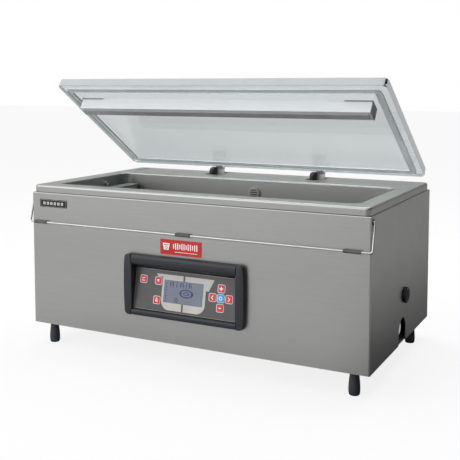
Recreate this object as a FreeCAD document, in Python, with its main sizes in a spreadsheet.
"""A tabletop chamber vacuum packing machine, every piece a part of its own.

Pieces are drawn in the casing's coordinates, in millimetres: X from the middle to the right,
Y from the front face to the rear and Z up from the casing's lower edge.  Each piece's
Placement then moves it to the machine's own frame, which stands on the feet.
"""
import FreeCAD
import Part
import Sketcher
import math
import operator
import os

from FreeCAD import Placement, Rotation, Vector

SIZES = {
    # casing
    "casing_width": 900, "casing_depth": 510, "casing_height": 340, "sheet": 1.5,
    "casing_lip": 14, "foot_height": 55, "middle_depth": 251.85,
    # chamber, pressed with its rim from one sheet
    "rim_inset": 3, "rim_gap": 1, "rim_height": 19, "rim_corner": 12, "rim_sheet": 3,
    "chamber_half": 405, "chamber_front": 48, "chamber_back": 356, "chamber_floor": 195,
    "tub_sheet": 2, "shelf_front": 415, "chamber_corner": 26, "rim_round": 5.5, "mouth_round": 4,
    # lid, drawn closed
    "lid_half": 448.5, "lid_front": 3, "lid_rear": 439, "lid_gap": 3, "lid_thickness": 22,
    "lid_corner": 14, "gasket_inset": 17.5, "gasket_width": 15, "gasket_groove": 4,
    "open_angle": 32.8, "clip_tongue": 1.6, "cover_width": 13, "shaft_depth": 477, "shaft_level": 321, "shaft_radius": 6,
    "arm_offset": 155, "fit": 0.05,
    "counter_half": 401, "counter_front": 67, "counter_rear": 102, "counter_height": 30,
    # seal bar
    "seal_half": 392, "seal_depth": 84.5, "seal_width": 14, "seal_top": 318, "seal_height": 26,
    "lift_offset": 250, "lift_radius": 6,
    # gas springs
    "lever_length": 38, "spring_offset": 122, "spring_foot_depth": 385, "spring_foot_level": 50,
    "spring_pin": 4, "tube_radius": 9, "tube_length": 170, "open_eye": 6.4,
    # wire bail
    "wire_radius": 2.5, "bail_half": 454, "bail_leg": 65.6, "bail_depth": 12, "bail_level": 328,
    "bail_reach": 4.3, "sleeve_radius": 4, "sleeve_length": 40,
    # control panel
    "bezel_half": 164, "bezel_low": 60, "bezel_high": 210, "bezel_proud": 14, "window_half": 139,
    "window_low": 76, "window_high": 186, "keypad_low_depth": -6, "keypad_high_depth": 12,
    "keypad_high": 173.5, "keypad_sheet": 3, "key_side": 16, "key_gap": 0.35, "key_proud": 1.2,
    "key_height": 3,
    # pump set
    "pump_depth": 255, "pump_level": 82, "pump_radius": 62, "motor_radius": 58, "rotor_radius": 8,
    "glass_depth": 250, "glass_level": 37, "cap_depth": 274, "cap_level": 113,
    # main switch
    "switch_depth": 504, "switch_level": 60, "switch_pin": 1.5,
}

doc = FreeCAD.newDocument("vacuum_packing_machine")
sheet = doc.addObject("Spreadsheet::Sheet", "dims")
for row, (name, number) in enumerate(SIZES.items(), start=1):
    sheet.set(f"A{row}", name)
    sheet.set(f"B{row}", str(number))
    sheet.setAlias(f"B{row}", name)
doc.recompute()


# ---------------------------------------------------------------- sizes that stay bound to the sheet

class Size:
    """A number together with the spreadsheet expression that gives it."""

    def __init__(self, value, text):
        self.value = value
        self.text = text

    def joined(self, other, sign, work, swap=False):
        other = other if isinstance(other, Size) else Size(other, repr(other))
        first, second = (other, self) if swap else (self, other)
        return Size(work(first.value, second.value), f"({first.text} {sign} {second.text})")

    def __add__(self, other):
        return self.joined(other, "+", operator.add)

    def __radd__(self, other):
        return self.joined(other, "+", operator.add, swap=True)

    def __sub__(self, other):
        return self.joined(other, "-", operator.sub)

    def __rsub__(self, other):
        return self.joined(other, "-", operator.sub, swap=True)

    def __mul__(self, other):
        return self.joined(other, "*", operator.mul)

    def __rmul__(self, other):
        return self.joined(other, "*", operator.mul, swap=True)

    def __truediv__(self, other):
        return self.joined(other, "/", operator.truediv)

    def __neg__(self):
        return Size(-self.value, f"(-{self.text})")


def size(name):
    return Size(sheet.get(name), f"dims.{name}")


def number(length):
    return length.value if isinstance(length, Size) else length


def bind(item, field, length):
    """Give a property its value, by an expression when the value comes from the sheet."""
    if isinstance(length, Size):
        item.setExpression(field, length.text)
    elif not field.startswith("Constraints") and "." not in field:
        setattr(item, field, length)
    elif "." in field:
        item.setExpression(field, repr(length))


# ---------------------------------------------------------------- sketches and features

PLANES = {"X": "YZ_Plane", "Y": "XZ_Plane", "Z": "XY_Plane"}
START, END, CENTRE = 1, 2, 3


def rect(left, right, low, high):
    return "polygon", [(left, low), (right, low), (right, high), (left, high)]


def polygon(points):
    return "polygon", points


def disc(across, up, radius):
    return "disc", (across, up, radius)


def rounded(left, right, low, high, radius):
    return "rounded", (left, right, low, high, radius)


def hold(sketch, kind, places, length):
    constraint = sketch.addConstraint(Sketcher.Constraint(kind, *places, number(length)))
    bind(sketch, f"Constraints[{constraint}]", length)


def hold_point(sketch, line, end, across, up):
    hold(sketch, "DistanceX", (-1, START, line, end), across)
    hold(sketch, "DistanceY", (-1, START, line, end), up)


def draw_polygon(sketch, points):
    corners = [Vector(number(across), number(up), 0) for across, up in points]
    count = len(corners)
    lines = [sketch.addGeometry(Part.LineSegment(corners[n], corners[(n + 1) % count]))
             for n in range(count)]
    for n in range(count):
        sketch.addConstraint(Sketcher.Constraint("Coincident", lines[n], END, lines[(n + 1) % count], START))
        hold_point(sketch, lines[n], START, *points[n])


def draw_disc(sketch, centre_and_radius):
    across, up, radius = centre_and_radius
    middle = Vector(number(across), number(up), 0)
    circle = sketch.addGeometry(Part.Circle(middle, Vector(0, 0, 1), number(radius)))
    hold_point(sketch, circle, CENTRE, across, up)
    hold(sketch, "Radius", (circle,), radius)


def draw_rounded(sketch, limits):
    """A rectangle with round corners: four sides, each followed by its corner's arc."""
    left, right, low, high, radius = limits
    r = number(radius)
    x0, x1, y0, y1 = (number(side) for side in (left, right, low, high))
    sides = [((x0 + r, y0), (x1 - r, y0)), ((x1, y0 + r), (x1, y1 - r)),
             ((x1 - r, y1), (x0 + r, y1)), ((x0, y1 - r), (x0, y0 + r))]
    centres = [(x1 - r, y0 + r), (x1 - r, y1 - r), (x0 + r, y1 - r), (x0 + r, y0 + r)]
    lines, arcs = [], []
    for n in range(4):
        (ax, ay), (bx, by) = sides[n]
        lines.append(sketch.addGeometry(Part.LineSegment(Vector(ax, ay, 0), Vector(bx, by, 0))))
        circle = Part.Circle(Vector(*centres[n], 0), Vector(0, 0, 1), r)
        turn = math.pi / 2
        arcs.append(sketch.addGeometry(Part.ArcOfCircle(circle, (n - 1) * turn, n * turn)))
    for n in range(4):
        following = lines[(n + 1) % 4]
        sketch.addConstraint(Sketcher.Constraint("Tangent", lines[n], END, arcs[n], START))
        sketch.addConstraint(Sketcher.Constraint("Tangent", arcs[n], END, following, START))
        sketch.addConstraint(Sketcher.Constraint("Vertical" if n % 2 else "Horizontal", lines[n]))
        if n:
            sketch.addConstraint(Sketcher.Constraint("Equal", arcs[0], arcs[n]))
    hold(sketch, "Radius", (arcs[0],), radius)
    hold(sketch, "DistanceY", (-1, START, lines[0], START), low)
    hold(sketch, "DistanceX", (-1, START, lines[1], START), right)
    hold(sketch, "DistanceY", (-1, START, lines[2], START), high)
    hold(sketch, "DistanceX", (-1, START, lines[3], START), left)


DRAW = {"polygon": draw_polygon, "disc": draw_disc, "rounded": draw_rounded}


def new_body(label):
    body = doc.addObject("PartDesign::Body", label)
    body.Label = label
    return body


def sketch_on(body, axis, offset, outlines):
    """A sketch square to an axis of the body, at a distance along that plane's own normal."""
    sketch = body.newObject("Sketcher::SketchObject", f"{body.Name}_outline")
    plane = next(item for item in body.Origin.OriginFeatures if item.Role == PLANES[axis])
    sketch.AttachmentSupport = [(plane, "")]
    sketch.MapMode = "FlatFace"
    bind(sketch, "AttachmentOffset.Base.z", offset)
    for kind, values in outlines:
        DRAW[kind](sketch, values)
    return sketch


def add(body, axis, low, high, *outlines):
    """Pad outlines from low to high along an axis.  The plane across Y faces -Y."""
    sketch = sketch_on(body, axis, -high if axis == "Y" else low, outlines)
    pad = body.newObject("PartDesign::Pad", f"{body.Name}_pad")
    pad.Profile = sketch
    bind(pad, "Length", high - low)
    doc.recompute()


def cut(body, axis, low, high, *outlines):
    """Pocket outlines out of the body from low to high, and make sure that it lost material."""
    before = body.Shape.Volume
    sketch = sketch_on(body, axis, -low if axis == "Y" else high, outlines)
    pocket = body.newObject("PartDesign::Pocket", f"{body.Name}_pocket")
    pocket.Profile = sketch
    bind(pocket, "Length", high - low)
    doc.recompute()
    if not body.Shape.Volume < before - 1e-6:
        raise RuntimeError(f"{body.Label}: a pocket along {axis} cuts nothing")


def turn(body, points):
    """Turn a half outline, given as radius and height, about the body's own Z axis."""
    sketch = sketch_on(body, "Y", 0, [polygon(points)])
    revolution = body.newObject("PartDesign::Revolution", f"{body.Name}_turning")
    revolution.Profile = sketch
    revolution.ReferenceAxis = (sketch, ["V_Axis"])
    revolution.Angle = 360
    doc.recompute()


def dress(body, kind, field, length, chosen):
    names = [f"Edge{n}" for n, edge in enumerate(body.Shape.Edges, start=1) if chosen(edge.BoundBox)]
    feature = body.newObject(f"PartDesign::{kind}", f"{body.Name}_{kind.lower()}")
    feature.Base = (body.Tip if body.Tip != feature else feature.BaseFeature, names)
    bind(feature, field, length)
    doc.recompute()


def round_edges(body, radius, chosen):
    dress(body, "Fillet", "Radius", radius, chosen)


def bevel_edges(body, length, chosen):
    dress(body, "Chamfer", "Size", length, chosen)


def near(first, second):
    return abs(first - second) < 0.01


def upright(box):
    return box.ZLength > 0.1 and box.XLength < 0.01 and box.YLength < 0.01


def at_height(level):
    return lambda box: near(box.ZMin, number(level)) and near(box.ZMax, number(level))


# ---------------------------------------------------------------- where the pieces stand

MACHINE = Placement(Vector(0, -SIZES["middle_depth"], SIZES["foot_height"]), Rotation())
SHAFT = Vector(0, SIZES["shaft_depth"], SIZES["shaft_level"])
RIGHTWARDS = Vector(1, 0, 0)
OPEN_LID = MACHINE * Placement(Vector(0, 0, 0), Rotation(RIGHTWARDS, -SIZES["open_angle"]), SHAFT)
parts = []


def keep(item, placement=MACHINE):
    """File a finished sub-part and stand it in the machine's frame."""
    item.Placement = placement
    parts.append(item)
    return item


def group(label, items):
    """One node of separate, like solids."""
    bundle = doc.addObject("Part::Compound", label)
    bundle.Label = label
    bundle.Links = items
    return bundle


def cylinder(label, radius, low, high, x, y, along="Z"):
    """A Part cylinder from low to high along X, Y or Z; x and y are its other two coordinates."""
    rod = doc.addObject("Part::Cylinder", label)
    bind(rod, "Radius", radius)
    bind(rod, "Height", high - low)
    turned = {"Z": Rotation(), "X": Rotation(Vector(0, 1, 0), 90), "Y": Rotation(Vector(1, 0, 0), -90)}
    rod.Placement = Placement(Vector(0, 0, 0), turned[along])
    fields = {"Z": ("x", "y", "z"), "X": ("y", "z", "x"), "Y": ("x", "z", "y")}[along]
    for field, length in zip(fields, (x, y, low)):
        bind(rod, f"Placement.Base.{field}", length)
    return rod


def joined(label, items):
    fusion = doc.addObject("Part::MultiFuse", label)
    fusion.Label = label
    fusion.Shapes = items
    return fusion


def bent_rod(label, points, bend, radius):
    """A round rod or hose along straight runs joined by tangent arcs of one bend radius."""
    corners = [Vector(*point) for point in points]
    edges = []
    start = corners[0]
    for before, corner, after in zip(corners, corners[1:], corners[2:]):
        into = (corner - before).normalize()
        out = (after - corner).normalize()
        setback = bend * math.tan(into.getAngle(out) / 2)
        arc_start = corner - into * setback
        arc_end = corner + out * setback
        inward = (out - into).normalize()
        reach = bend / math.cos(into.getAngle(out) / 2) - bend
        edges.append(Part.LineSegment(start, arc_start).toShape())
        edges.append(Part.Arc(arc_start, corner + inward * reach, arc_end).toShape())
        start = arc_end
    edges.append(Part.LineSegment(start, corners[-1]).toShape())
    route = doc.addObject("Part::Feature", f"{label}_route")
    route.Shape = Part.Wire(edges)
    section = doc.addObject("Part::Circle", f"{label}_section")
    bind(section, "Radius", radius)
    section.Placement = Placement(corners[0], Rotation(Vector(0, 0, 1), corners[1] - corners[0]))
    sweep = doc.addObject("Part::Sweep", label)
    sweep.Label = label
    sweep.Sections = [section]
    sweep.Spine = (route, [f"Edge{n}" for n in range(1, len(edges) + 1)])
    sweep.Solid = True
    doc.recompute()
    right_volume = route.Shape.Length * math.pi * number(radius) ** 2
    if abs(sweep.Shape.Volume / right_volume - 1) > 0.01:
        raise RuntimeError(f"{label}: the sweep's volume is wrong")
    return sweep


half = size("casing_width") / 2
depth = size("casing_depth")
height = size("casing_height")
steel = size("sheet")
fit = size("fit")


# ---------------------------------------------------------------- casing

def casing_wrap():
    """Front and both sides folded from one sheet, with lips turned in at the top and bottom."""
    lip = size("casing_lip")
    rear = depth - steel
    body = new_body("casing_wrap")
    add(body, "Z", 0, height, rect(-half, half, 0, rear))
    round_edges(body, 3, lambda box: upright(box) and near(box.YMin, 0))
    round_edges(body, 2, lambda box: near(box.ZMin, number(height)) and box.YMin < number(rear) - 1)
    cut(body, "Z", steel, height - steel, rect(-half + steel, half - steel, steel, depth))
    for low, high in ((height - steel, height), (0, steel)):
        cut(body, "Z", low, high, rect(-half + lip, half - lip, lip, depth))
    cut(body, "Y", 0, steel, rect(-150, 150, 70, 190))
    arch_middle = 257.5
    arch_radius = 30.5
    arch = rect(arch_middle - arch_radius, arch_middle + arch_radius, 0, arch_radius)
    cut(body, "X", half - lip - 1, half, arch)
    cut(body, "X", half - steel, half, disc(arch_middle, arch_radius, arch_radius - 0.01))
    cut(body, "X", half - steel, half, disc(size("cap_depth"), size("cap_level"), 17))
    cut(body, "X", -half, half, disc(size("bail_depth"), size("bail_level"), 5))
    return keep(body)


def back_panel():
    """The flat rear panel, with louvres for the pump and a cut-out for the mains inlet."""
    body = new_body("back_panel")
    add(body, "Y", depth - steel, depth, rect(-half, half, 0, height))
    slot_length, slot_width, slot_pitch = 90, 5, 13
    slots = []
    for bank in (60, 180, 300):
        for step in range(8):
            low = 60 + step * slot_pitch
            slots.append(rect(bank, bank + slot_length, low, low + slot_width))
    cut(body, "Y", depth - steel, depth, *slots)
    cut(body, "Y", depth - steel, depth, rect(-352, -268, 46, 74))
    return keep(body)


def base_plate():
    """The floor of the casing, lying on its lower lips."""
    body = new_body("base_plate")
    add(body, "Z", steel, steel + 2, rect(-half + steel, half - steel, steel, depth - steel))
    slots = [rect(-180 + n * 24, -172 + n * 24, 330, 400) for n in range(10)]
    cut(body, "Z", steel, steel + 2, *slots)
    return keep(body)


def casing_screws():
    """Domed screws round the edge of the rear panel."""
    places = [(x, z) for x in (-430, -215, 0, 215, 430) for z in (14, 326)]
    heads = []
    for n, (x, z) in enumerate(places, start=1):
        heads.append(cylinder(f"screw_{n}", 4, depth, depth + 2, x, z, along="Y"))
    return keep(group("casing_screws", heads))


def feet():
    """Rubber feet, narrower at the top, with a rounded sole."""
    tall = size("foot_height")
    outline = [(0, -tall), (9, -tall), (11.5, -tall + 2), (12.8, -tall + 7), (13, -tall + 14),
               (12, -18), (10, -8), (10, 0), (0, 0)]
    items = []
    for x, y in ((-408, 28), (408, 28), (-422, 440), (422, 440)):
        foot = new_body("foot")
        turn(foot, outline)
        foot.Placement = Placement(Vector(x, y, 0), Rotation())
        items.append(foot)
    return keep(group("feet", items))


def name_tag():
    body = new_body("name_tag")
    add(body, "Y", -1.2, 0, rounded(-425.5, -340.5, 303.5, 323.5, 2))
    return keep(body)


def front_label():
    body = new_body("front_label")
    add(body, "Y", -1, 0, rounded(-64.5, 46.5, 215, 251, 1.5))
    return keep(body)


# ---------------------------------------------------------------- chamber

rim_low = height + size("rim_gap")
rim_top = height + size("rim_height")
plate_low = rim_top - size("rim_sheet")
chamber = (size("chamber_half"), size("chamber_front"), size("chamber_back"))


def rim_outline(inset, radius):
    side = half - size("rim_inset") - inset
    return rounded(-side, side, size("rim_inset") + inset, depth - size("rim_inset") - inset, radius)


def rim_gasket():
    """The dark strip that the chamber's rim sits on."""
    body = new_body("rim_gasket")
    add(body, "Z", height, rim_low, rim_outline(1.5, 10), rim_outline(7, 5))
    return keep(body)


def chamber_tub():
    """The deep chamber and the wide rim round it, with a rear shelf and two slots for the arms."""
    side, front, back = chamber
    floor = size("chamber_floor")
    wall = size("tub_sheet")
    skin = size("rim_sheet")
    body = new_body("chamber_tub")
    add(body, "Z", rim_low, rim_top, rim_outline(0, size("rim_corner")))
    round_edges(body, size("rim_round"), at_height(rim_top))
    cut(body, "Z", rim_low, plate_low, rim_outline(skin, size("rim_corner") - skin))
    corner = size("chamber_corner")
    outside = rounded(-side - wall, side + wall, front - wall, back + wall, corner + wall)
    add(body, "Z", floor - wall, plate_low + 1, outside)
    cut(body, "Z", floor, rim_top, rounded(-side, side, front, back, corner))
    inner_edge = at_height(rim_top)
    round_edges(body, size("mouth_round"), lambda box: inner_edge(box) and abs(box.XMin) < number(side) + 0.1
                and box.YMin > number(front) - 0.1 and box.YMax < number(back) + 0.1)
    cut(body, "Z", rim_top - 1.2, rim_top, rect(-415, 415, size("shelf_front"), depth - 12))
    for middle in (-size("arm_offset"), size("arm_offset")):
        cut(body, "Z", plate_low, rim_top - 1.2, rect(middle - 24, middle + 20, 423, 496))
    cut(body, "Y", back - 1, back + wall + 1, disc(14, 322, 11))
    for x in (-size("lift_offset"), size("lift_offset")):
        cut(body, "Z", floor - wall, floor, disc(x, size("seal_depth"), 9))
    return keep(body)


def side_rails():
    """Dark plastic rails along the side walls that carry the filling boards."""
    items = []
    for n, x in enumerate((-390, 355)):
        rail = new_body(f"rail_{n}")
        add(rail, "Z", 311, 329, rounded(x, x + 35, 150, 346, 5))
        items.append(rail)
    return keep(group("side_rails", items))


def wall_studs():
    """Steel studs on the side walls that the rails hang on."""
    side = chamber[0]
    items = []
    for y in (190, 252, 318):
        items.append(cylinder("stud_left", 5, -side, -390, y, 320, along="X"))
        items.append(cylinder("stud_right", 5, 390, side, y, 320, along="X"))
    for y in (255, 120):
        items.append(cylinder("board_stud_left", 5, -side, -side + 7, y, 337, along="X"))
        items.append(cylinder("board_stud_right", 5, side - 7, side, y, 337, along="X"))
    return keep(group("wall_studs", items))


def vacuum_port():
    """The black strainer on the rear wall, with the spigot that the suction hose starts from."""
    back = chamber[2]
    body = new_body("vacuum_port")
    add(body, "Y", back - 7, back, disc(14, 322, 17))
    add(body, "Y", back - 1, 384, disc(14, 322, 11))
    for level in (313, 319, 325, 331):
        cut(body, "Y", back - 7, back - 4, rect(3, 25, level - 1, level + 1.5))
    cut(body, "Y", back - 4, 384, disc(14, 322, 8))
    return keep(body)


# ---------------------------------------------------------------- seal bar

def seal_bar():
    middle = size("seal_depth")
    side = size("seal_half")
    top = size("seal_top")
    body = new_body("seal_bar")
    thick = size("seal_width") / 2
    add(body, "X", -side, side, rect(middle - thick, middle + thick, top - size("seal_height"), top))
    bevel_edges(body, 1.5, lambda box: box.XLength > 100 and near(box.ZMin, number(top)))
    return keep(body)


def heating_band():
    """The flat heating element under its release tape, on top of the seal bar."""
    middle = size("seal_depth")
    side = size("seal_half") - 2
    body = new_body("heating_band")
    add(body, "X", -side, side, rect(middle - 4, middle + 4, size("seal_top"), size("seal_top") + 0.8))
    return keep(body)


def lift_pair(label, radius, low, high, bore=None):
    items = []
    for n, x in enumerate((-size("lift_offset"), size("lift_offset"))):
        item = new_body(f"{label}_{n}")
        add(item, "Z", low, high, disc(x, size("seal_depth"), radius))
        if bore is not None:
            cut(item, "Z", low + 4, high, disc(x, size("seal_depth"), bore))
        items.append(item)
    return items


def lift_rods():
    seat = size("seal_top") - size("seal_height")
    return keep(group("lift_rods", lift_pair("lift_rod", size("lift_radius"), 152, seat)))


def lift_cylinders():
    """Small air cylinders that push the seal bar up through the chamber floor."""
    floor = size("chamber_floor")
    bore = size("lift_radius") + fit
    items = lift_pair("lift_cylinder", 15, 140, floor - size("tub_sheet"), bore)
    for item, x in zip(items, (-size("lift_offset"), size("lift_offset"))):
        add(item, "Z", floor - size("tub_sheet"), floor + 4, disc(x, size("seal_depth"), 9),
            disc(x, size("seal_depth"), bore))
    return keep(group("lift_cylinders", items))


# ---------------------------------------------------------------- lid, drawn closed and placed open

lid_low = rim_top + size("lid_gap")
lid_top = lid_low + size("lid_thickness")


def lid_outline(inset, radius):
    side = size("lid_half") - inset
    return rounded(-side, side, size("lid_front") + inset, size("lid_rear") - inset, radius)


def gasket_ring():
    inset = size("gasket_inset")
    return lid_outline(inset, 14), lid_outline(inset + size("gasket_width"), 4)


def lid_plate():
    """The thick clear plate, its edges polished round and a groove under it for the gasket."""
    body = new_body("lid_plate")
    add(body, "Z", lid_low, lid_top, lid_outline(0, size("lid_corner")))
    round_edges(body, 2.5, lambda box: at_height(lid_top)(box) or at_height(lid_low)(box))
    cut(body, "Z", lid_low, lid_low + size("gasket_groove"), *gasket_ring())
    return keep(body, OPEN_LID)


def lid_gasket():
    """Soft silicone that fills the groove and stands down to meet the rim."""
    body = new_body("lid_gasket")
    add(body, "Z", rim_top + 0.4, lid_low + size("gasket_groove"), *gasket_ring())
    round_edges(body, 1.2, at_height(rim_top + 0.4))
    return keep(body, OPEN_LID)


counter_low = lid_low - size("counter_height")


def counter_bar():
    """The hollow bar under the lid that the seal bar presses against."""
    side = size("counter_half")
    front = size("counter_front")
    rear = size("counter_rear")
    body = new_body("counter_bar")
    add(body, "X", -side, side, rect(front, rear, counter_low, lid_low))
    round_edges(body, 1.5, lambda box: box.XLength > 100 and near(box.ZMin, number(counter_low)))
    cut(body, "X", -side, side, rect(front + 3, rear - 3, counter_low + 5, lid_low - 3))
    return keep(body, OPEN_LID)


def counter_silicone():
    body = new_body("counter_silicone")
    side = size("counter_half") - 6
    add(body, "X", -side, side, rect(74.5, 94.5, counter_low - 3.8, counter_low))
    return keep(body, OPEN_LID)


def counter_bar_clips():
    """Dark end caps whose two tongues hold the bar to the lid."""
    side = size("counter_half")
    front = size("counter_front")
    rear = size("counter_rear")
    thin = size("clip_tongue")
    items = []
    for n, (inner, outer, tongue) in enumerate(((-side, -side - 2, -side + 66), (side, side + 2, side - 66))):
        low, high = (outer, inner) if n == 0 else (inner, outer)
        clip = new_body(f"clip_{n}")
        add(clip, "X", low, high, rect(front - thin, rear + thin, lid_low - thin, lid_low))
        add(clip, "X", low, high, rect(front, rear, counter_low, lid_low - thin))
        low, high = (outer, tongue) if n == 0 else (tongue, outer)
        for near_side, far_side in ((front - thin, front), (rear, rear + thin)):
            add(clip, "X", low, high, rect(near_side, far_side, lid_low - thin, lid_low))
        items.append(clip)
    return keep(group("counter_bar_clips", items), OPEN_LID)


def from_shaft(back, up):
    return size("shaft_depth") + back, size("shaft_level") + up


def hinge_arms():
    """Steel arms from the shaft up to the lid's rear edge, each with a lip under the lid."""
    lip = [(-53, 38), (-53, 41), (-38, 41), (-38, 58), (-32, 58), (-32, 36), (-4, 10), (-8, -9), (-38, 34)]
    items = []
    for n, middle in enumerate((-size("arm_offset"), size("arm_offset"))):
        arm = new_body(f"arm_{n}")
        add(arm, "X", middle - 2, middle + 18, polygon([from_shaft(*point) for point in lip]))
        add(arm, "X", middle - 2, middle + 18, disc(*from_shaft(0, 0), 14))
        cut(arm, "X", middle - 2, middle + 18, disc(*from_shaft(0, 0), size("shaft_radius")))
        items.append(arm)
    return keep(group("hinge_arms", items), OPEN_LID)


def arm_covers():
    """Black mouldings beside the arms, short enough to swing down through the slots."""
    outline = [(-44, -5), (-60, 19), (-57, 28), (-45, 38), (-32, 36), (-26, 2)]
    items = []
    for n, middle in enumerate((-size("arm_offset"), size("arm_offset"))):
        cover = new_body(f"cover_{n}")
        outer = middle - 2 - size("cover_width")
        add(cover, "X", outer, middle - 2, polygon([from_shaft(*point) for point in outline]))
        round_edges(cover, 2, lambda box, side=number(outer): near(box.XMax, side))
        items.append(cover)
    return keep(group("arm_covers", items), OPEN_LID)


def arm_screws():
    """One screw into the lid's rear edge and one up through the lip, on each arm."""
    items = []
    edge = size("lid_rear") + 6
    for middle in (-size("arm_offset"), size("arm_offset")):
        head = cylinder("edge_head", 5, edge, edge + 3, middle + 8, 371, along="Y")
        shank = cylinder("edge_shank", 2.5, edge - 26, edge, middle + 8, 371, along="Y")
        items.append(joined("edge_screw", [head, shank]))
        head = cylinder("lip_head", 4, 356.5, 359, middle + 8, 430)
        shank = cylinder("lip_shank", 2, 359, 370, middle + 8, 430)
        items.append(joined("lip_screw", [head, shank]))
    return keep(group("arm_screws", items), OPEN_LID)


def lever_pin():
    """The pin's place, seen from the shaft, when the lid is closed."""
    angle = math.radians(SIZES["open_angle"] / 2)
    reach = SIZES["lever_length"]
    return -reach * math.cos(angle), -reach * math.sin(angle)


def lid_shaft():
    """The cross shaft, with the two levers welded to it that the gas springs push on."""
    body = new_body("lid_shaft")
    add(body, "X", -205, 205, disc(*from_shaft(0, 0), size("shaft_radius")))
    back, up = lever_pin()
    along = Vector(0, back, up).normalize()
    across = Vector(0, -along.z, along.y) * 8
    ends = (Vector(0, 0, 0), Vector(0, back, up))
    link = [ends[0] + across, ends[1] + across, ends[1] - across, ends[0] - across]
    outline = polygon([from_shaft(point.y, point.z) for point in link])
    for side in (-1, 1):
        middle = side * SIZES["spring_offset"]
        low, high = sorted((middle - side * 10, middle - side * 4))
        add(body, "X", low, high, outline)
        add(body, "X", low, high, disc(*from_shaft(back, up), 9))
        low, high = sorted((middle - side * 5, middle + side * 5))
        add(body, "X", low, high, disc(*from_shaft(back, up), size("spring_pin")))
    return keep(body, OPEN_LID)


def bearing_blocks():
    """Plastic bearings under the rear shelf, one at each end of the shaft."""
    items = []
    for n, (low, high) in enumerate(((-202, -184), (184, 202))):
        block = new_body(f"block_{n}")
        add(block, "X", low, high, rect(459, 495, 303, plate_low))
        cut(block, "X", low, high, disc(*from_shaft(0, 0), size("shaft_radius") + fit))
        items.append(block)
    return keep(group("bearing_blocks", items))


# ---------------------------------------------------------------- gas springs

def spring_line():
    """The spring's length and lean with the lid open, from its foot to the lever's pin."""
    back, up = lever_pin()
    angle = math.radians(-SIZES["open_angle"])
    pin_depth = SIZES["shaft_depth"] + back * math.cos(angle) - up * math.sin(angle)
    pin_level = SIZES["shaft_level"] + back * math.sin(angle) + up * math.cos(angle)
    run = pin_depth - SIZES["spring_foot_depth"]
    rise = pin_level - SIZES["spring_foot_level"]
    return math.hypot(run, rise), math.degrees(math.atan2(run, rise))


def spring_placement(side):
    lean = spring_line()[1]
    foot = Vector(side * SIZES["spring_offset"], SIZES["spring_foot_depth"], SIZES["spring_foot_level"])
    return MACHINE * Placement(foot, Rotation(RIGHTWARDS, -lean))


def gas_tube(label, side):
    """A pressure tube, drawn upright on its foot eye."""
    top = size("tube_length")
    body = new_body(label)
    add(body, "Z", 14, top, disc(0, 0, size("tube_radius")))
    add(body, "X", -3, 3, rect(-6, 6, 2, 15))
    add(body, "X", -3, 3, disc(0, 0, size("tube_radius")))
    cut(body, "X", -3, 3, disc(0, 0, size("spring_pin") + fit))
    cut(body, "Z", 30, top, disc(0, 0, 7))
    add(body, "Z", top - 8, top, disc(0, 0, 8), disc(0, 0, size("spring_pin") + fit))
    return keep(body, spring_placement(side))


def gas_rod(label, side):
    """The piston and rod, with an eye whose hole is wide of the pin."""
    reach = spring_line()[0]
    body = new_body(label)
    add(body, "Z", 100, reach - 8, disc(0, 0, size("spring_pin")))
    add(body, "Z", 100, 110, disc(0, 0, 6.9))
    add(body, "X", -3, 3, disc(0, reach, 10))
    cut(body, "X", -3, 3, disc(0, reach, size("open_eye")))
    return keep(body, spring_placement(side))


def spring_anchors():
    """Brackets on the base plate with the pins that the springs stand on."""
    foot_depth = size("spring_foot_depth")
    foot_level = size("spring_foot_level")
    low = steel + 2
    items = []
    for side in (-1, 1):
        middle = side * SIZES["spring_offset"]

        def span(first, second):
            return sorted((middle + side * first, middle + side * second))
        bracket = new_body("anchor")
        add(bracket, "X", *span(5, 9), rect(foot_depth - 18, foot_depth + 18, low, foot_level + 8))
        add(bracket, "X", *span(8, 32), rect(foot_depth - 18, foot_depth + 18, low, low + 4))
        add(bracket, "X", *span(-4, 6), disc(foot_depth, foot_level, size("spring_pin")))
        items.append(bracket)
    return keep(group("spring_anchors", items))


# ---------------------------------------------------------------- wire bail

def bail_placement():
    lean = math.degrees(math.acos((SIZES["bail_depth"] + SIZES["bail_reach"]) / SIZES["bail_leg"]))
    pivot = Vector(0, SIZES["bail_depth"], SIZES["bail_level"])
    return MACHINE * Placement(pivot, Rotation(RIGHTWARDS, lean - 180))


def wire_bail():
    """One bent wire: its ends turn in through the side walls, its long run crosses the front."""
    side = SIZES["bail_half"]
    leg = SIZES["bail_leg"]
    pin = SIZES["casing_width"] / 2 - 8
    points = [(-pin, 0, 0), (-side, 0, 0), (-side, leg, 0), (side, leg, 0), (side, 0, 0), (pin, 0, 0)]
    return keep(bent_rod("wire_bail", points, 5.5, size("wire_radius")), bail_placement())


def bail_sleeves():
    """Three rubber sleeves on the long run, where it presses on the lid."""
    items = []
    for n, left in enumerate((-441, -21, 390)):
        sleeve = new_body(f"sleeve_{n}")
        wide = size("sleeve_length")
        add(sleeve, "X", left, left + wide, disc(size("bail_leg"), 0, size("sleeve_radius")),
            disc(size("bail_leg"), 0, size("wire_radius")))
        items.append(sleeve)
    return keep(group("bail_sleeves", items), bail_placement())


def bail_bushes():
    """Flanged plastic bushes in the side walls that the wire's ends turn in."""
    place = (size("bail_depth"), size("bail_level"))
    items = []
    for side in (-1, 1):
        wall = side * half
        bush = new_body("bush")
        spans = ((wall - side * 4, wall), (wall, wall + side * 1.2))
        for (first, second), radius in zip(spans, (size("wire_radius") + 2.5, 7)):
            low, high = (first, second) if side > 0 else (second, first)
            add(bush, "X", low, high, disc(*place, radius))
        low, high = (wall - 4, wall + 1.2) if side > 0 else (wall - 1.2, wall + 4)
        cut(bush, "X", low, high, disc(*place, size("wire_radius") + fit))
        items.append(bush)
    return keep(group("bail_bushes", items))


# ---------------------------------------------------------------- control panel

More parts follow.
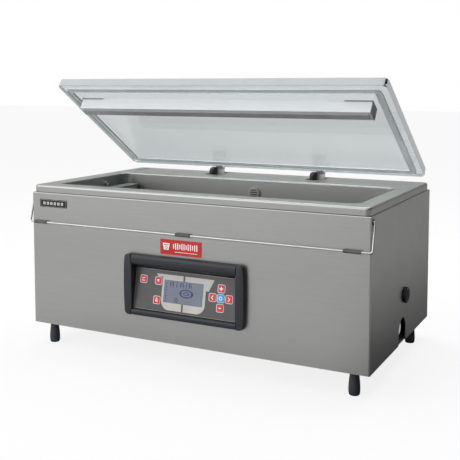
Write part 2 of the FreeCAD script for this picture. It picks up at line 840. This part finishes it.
def panel_bezel():
    """A thick dark frame with bevelled ends, and behind it the box that the keypad sits in."""
    side = size("bezel_half")
    low = size("bezel_low")
    high = size("bezel_high")
    proud = size("bezel_proud")
    window = size("window_half")
    body = new_body("panel_bezel")
    add(body, "Y", -proud, 0, rounded(-side, side, low, high, 12))
    bevel_edges(body, 5, lambda box: near(box.YMin, -number(proud)) and near(box.YMax, -number(proud)))
    add(body, "Y", 0, 34, rect(-148, 148, 72, 188))
    tray = [(-proud, size("window_low")), (-proud, size("window_high")),
            (size("keypad_high_depth") - 1, size("keypad_high") + 0.5), (34, size("keypad_high") + 0.5),
            (34, size("window_low"))]
    cut(body, "X", -window, window, polygon(tray))
    return keep(body)


keypad_rise = SIZES["keypad_high"] - SIZES["window_low"]
keypad_run = SIZES["keypad_high_depth"] - SIZES["keypad_low_depth"]
keypad_tilt = math.degrees(math.atan2(keypad_run, keypad_rise))
keypad_half = math.hypot(keypad_rise, keypad_run) / 2
KEYPAD = MACHINE * Placement(
    Vector(0, (SIZES["keypad_high_depth"] + SIZES["keypad_low_depth"]) / 2,
           (SIZES["keypad_high"] + SIZES["window_low"]) / 2),
    Rotation(RIGHTWARDS, 90 - keypad_tilt))

# middles of the keys on the keypad, across and up
KEYS = {
    "key_lid": (-116.5, 22.8), "key_vacuum": (-75, 22.8), "key_seal": (-75.5, -23), "key_plus": (95, 22.2),
    "key_back": (73.5, 0), "key_start": (95, 0), "key_next": (116.5, 0), "key_minus": (95, -22.2),
}
DISPLAY = (-57.5, 48, -25.5, 27)


def keypad_plate():
    """The sloping front plate, drawn flat, with a hole for each key and for the display."""
    hole = size("key_side") / 2 + size("key_gap")
    side = size("window_half")
    lower, upper = 0.8 - keypad_half, keypad_half - 0.4
    body = new_body("keypad_plate")
    add(body, "Z", -size("keypad_sheet"), 0, rect(-side, side, lower, upper))
    holes = [rounded(x - hole, x + hole, y - hole, y + hole, 2.6) for x, y in KEYS.values()]
    cut(body, "Z", -size("keypad_sheet"), 0, *holes)
    cut(body, "Z", -size("keypad_sheet"), 0, rect(*DISPLAY))
    return keep(body, KEYPAD)


def display_window():
    body = new_body("display_window")
    add(body, "Z", -size("keypad_sheet"), -0.2, rect(*DISPLAY))
    return keep(body, KEYPAD)


def key(label, x, y):
    """A square key that travels into the keypad."""
    side = size("key_side") / 2
    body = new_body(label)
    top = size("key_proud")
    add(body, "Z", top - size("key_height"), top, rounded(x - side, x + side, y - side, y + side, 2.4))
    round_edges(body, 0.6, at_height(top))
    return keep(body, KEYPAD)


def control_board():
    """The circuit board across the back of the panel's box, with its tall components."""
    body = new_body("control_board")
    add(body, "Y", 34, 36, rect(-148, 148, 72, 188))
    add(body, "Y", 36, 42, rect(-120, -70, 90, 130), rect(-40, 20, 100, 160), rect(60, 120, 84, 110))
    return keep(body)


# ---------------------------------------------------------------- pump set and electrics

axis_place = (size("pump_depth"), size("pump_level"))
tank_left, tank_right = 330, 438


def oil_tank():
    """The pump's oil box, open towards the pump cylinder that closes it."""
    body = new_body("oil_tank")
    add(body, "X", tank_left, tank_right, rounded(190, 320, 12, 160, 10))
    cut(body, "X", tank_left, tank_right - 6, rounded(196, 314, 18, 154, 6))
    add(body, "X", tank_left - 4, tank_left, rounded(186, 324, 8, 164, 10), rounded(196, 314, 18, 154, 6))
    grooves = [rect(190, 320, low, low + 4) for low in (108, 120, 132)]
    cut(body, "X", tank_right - 2, tank_right, *grooves)
    return keep(body)


def sight_glass_ring():
    place = (size("glass_depth"), size("glass_level"))
    body = new_body("sight_glass_ring")
    add(body, "X", tank_right, tank_right + 6, disc(*place, 17.5), disc(*place, 11.5))
    return keep(body)


def sight_glass_lens():
    body = new_body("sight_glass_lens")
    add(body, "X", tank_right, tank_right + 3, disc(size("glass_depth"), size("glass_level"), 11.5))
    return keep(body)


def oil_filler_cap():
    """The round black cap that stands out of the right side."""
    place = (size("cap_depth"), size("cap_level"))
    body = new_body("oil_filler_cap")
    add(body, "X", tank_right, half + 0.5, disc(*place, 12))
    add(body, "X", half + 0.5, half + 8.5, disc(*place, 19.5))
    round_edges(body, 1.5, lambda box: near(box.XMin, number(half) + 8.5))
    return keep(body)


def pump_cylinder():
    """The finned pump body, with the inlet spigot on its rear side."""
    end = tank_left - 4
    body = new_body("pump_cylinder")
    add(body, "X", 120, end, disc(*axis_place, 52))
    for fin in range(10):
        add(body, "X", 124 + fin * 20, 130 + fin * 20, disc(*axis_place, size("pump_radius")))
    add(body, "Y", 290, 335, disc(230, 110, 11))
    cut(body, "X", 140, end, disc(*axis_place, 38))
    cut(body, "X", 120, 140, disc(*axis_place, size("rotor_radius") + fit))
    return keep(body)


def pump_rotor():
    """The shaft through motor and pump, with the vane rotor near its right end."""
    body = new_body("pump_rotor")
    add(body, "X", -86, 320, disc(*axis_place, size("rotor_radius")))
    add(body, "X", 150, 318, disc(*axis_place, 33))
    add(body, "X", -30, 100, disc(*axis_place, 34))
    return keep(body)


def motor_housing():
    body = new_body("motor_housing")
    add(body, "X", -60, 120, disc(*axis_place, size("motor_radius")))
    cut(body, "X", -52, 120, disc(*axis_place, 48))
    cut(body, "X", -60, -52, disc(*axis_place, size("rotor_radius") + fit))
    return keep(body)


def motor_fan():
    """Six blades on the shaft's free end."""
    body = new_body("motor_fan")
    add(body, "X", -84, -64, disc(*axis_place, 14))
    for blade in range(6):
        out = Vector(0, math.cos(blade * math.pi / 3), math.sin(blade * math.pi / 3))
        side = Vector(0, -out.z, out.y) * 1.5
        corners = [out * 12 + side, out * 46 + side, out * 46 - side, out * 12 - side]
        outline = [(axis_place[0] + corner.y, axis_place[1] + corner.z) for corner in corners]
        add(body, "X", -82, -66, polygon(outline))
    cut(body, "X", -84, -64, disc(*axis_place, size("rotor_radius")))
    return keep(body)


def fan_cowl():
    body = new_body("fan_cowl")
    add(body, "X", -92, -60, disc(*axis_place, size("motor_radius")))
    cut(body, "X", -90, -60, disc(*axis_place, 54))
    holes = []
    for n in range(8):
        angle = n * math.pi / 4
        holes.append(disc(axis_place[0] + 32 * math.cos(angle), axis_place[1] + 32 * math.sin(angle), 9))
    cut(body, "X", -92, -90, *holes)
    return keep(body)


def pump_saddles():
    """Rubber saddles that carry the pump set on the base plate."""
    low = steel + 2
    items = []
    for left, radius in ((-40, size("motor_radius")), (80, size("motor_radius"))):
        saddle = new_body("saddle")
        add(saddle, "X", left, left + 30, rect(215, 295, low, 40))
        cut(saddle, "X", left, left + 30, disc(*axis_place, radius))
        items.append(saddle)
    pad = new_body("tank_pad")
    add(pad, "X", 350, 420, rect(210, 300, low, 12))
    items.append(pad)
    return keep(group("pump_saddles", items))


def suction_hose():
    """The hose from the chamber's port, down behind the chamber and round to the pump."""
    route = [(14, 384, 322), (14, 425, 322), (14, 425, 110), (230, 425, 110), (230, 335, 110)]
    return keep(bent_rod("suction_hose", route, 30, 13))


def transformer():
    """The sealing transformer: a laminated core with its coil round the middle leg."""
    low = steel + 2
    body = new_body("transformer")
    add(body, "X", -310, -210, rect(210, 300, low, 90))
    cut(body, "X", -310, -210, rect(225, 245, low + 12, 78), rect(265, 285, low + 12, 78))
    add(body, "X", -322, -198, rounded(228, 282, low + 14, 76, 6))
    return keep(body)


def power_inlet():
    """The mains inlet with a frame beside it for the switch."""
    body = new_body("power_inlet")
    add(body, "Y", depth, depth + 2, rounded(-356, -264, 42, 78, 3))
    add(body, "Y", depth - 26, depth, rect(-350, -270, 48, 72))
    cut(body, "Y", depth - 20, depth + 2, rect(-346, -318, 50, 70))
    cut(body, "Y", depth - 14, depth + 2, rect(-304, -276, 50, 70))
    add(body, "Y", depth - 21, depth - 6, rect(-342, -340, 57, 63), rect(-333, -331, 57, 63),
        rect(-324, -322, 57, 63))
    pin_hole = disc(size("switch_depth"), size("switch_level"), size("switch_pin") + fit)
    cut(body, "X", -308, -272, pin_hole)
    return keep(body)


def switch_rocker():
    """The rocker of the main switch, hollowed a little across its face, on two round pins."""
    body = new_body("switch_rocker")
    outline = [(depth - 10, 54), (depth - 1, 51), (depth - 2.6, 60), (depth + 0.8, 68.6), (depth - 10, 66)]
    add(body, "X", -303.5, -276.5, polygon(outline))
    for low, high in ((-307, -303), (-277, -273)):
        add(body, "X", low, high, disc(size("switch_depth"), size("switch_level"), size("switch_pin")))
    return keep(body)


# ---------------------------------------------------------------- build, check and write

def build():
    for make in (casing_wrap, back_panel, base_plate, casing_screws, feet, name_tag, front_label,
                 rim_gasket, chamber_tub, side_rails, wall_studs, vacuum_port,
                 seal_bar, heating_band, lift_rods, lift_cylinders,
                 lid_plate, lid_gasket, counter_bar, counter_silicone, counter_bar_clips,
                 hinge_arms, arm_covers, arm_screws, lid_shaft, bearing_blocks, spring_anchors,
                 wire_bail, bail_sleeves, bail_bushes,
                 panel_bezel, keypad_plate, display_window, control_board,
                 oil_tank, sight_glass_ring, sight_glass_lens, oil_filler_cap, pump_cylinder,
                 pump_rotor, motor_housing, motor_fan, fan_cowl, pump_saddles, suction_hose,
                 transformer, power_inlet, switch_rocker):
        make()
    for label, side in (("left", -1), ("right", 1)):
        gas_tube(f"gas_tube_{label}", side)
        gas_rod(f"gas_rod_{label}", side)
    for label, (x, y) in KEYS.items():
        key(label, x, y)
    doc.recompute()


def check():
    for item in doc.Objects:
        if "Invalid" in item.State or "Error" in item.State:
            raise RuntimeError(f"{item.Label}: {item.State}")
    for part in parts:
        if part.Shape.isNull() or not part.Shape.isValid():
            raise RuntimeError(f"{part.Label}: its shape is not valid")
    labels = [part.Label for part in parts]
    if len(set(labels)) != len(labels):
        raise RuntimeError("two sub-parts share a label")


def write():
    os.makedirs("parts", exist_ok=True)
    for part in parts:
        part.Shape.exportStep(f"parts/{part.Label}.step")
        box = part.Shape.BoundBox
        print(f"{part.Label:18} {len(part.Shape.Solids):2} solids {part.Shape.Volume / 1000:9.1f} cm3  "
              f"x {box.XMin:7.1f} {box.XMax:7.1f}  y {box.YMin:7.1f} {box.YMax:7.1f}  "
              f"z {box.ZMin:7.1f} {box.ZMax:7.1f}")
    print(f"{len(parts)} sub-parts; gas spring {spring_line()[0]:.2f} mm, leaning {spring_line()[1]:.3f}")


build()
check()
write()
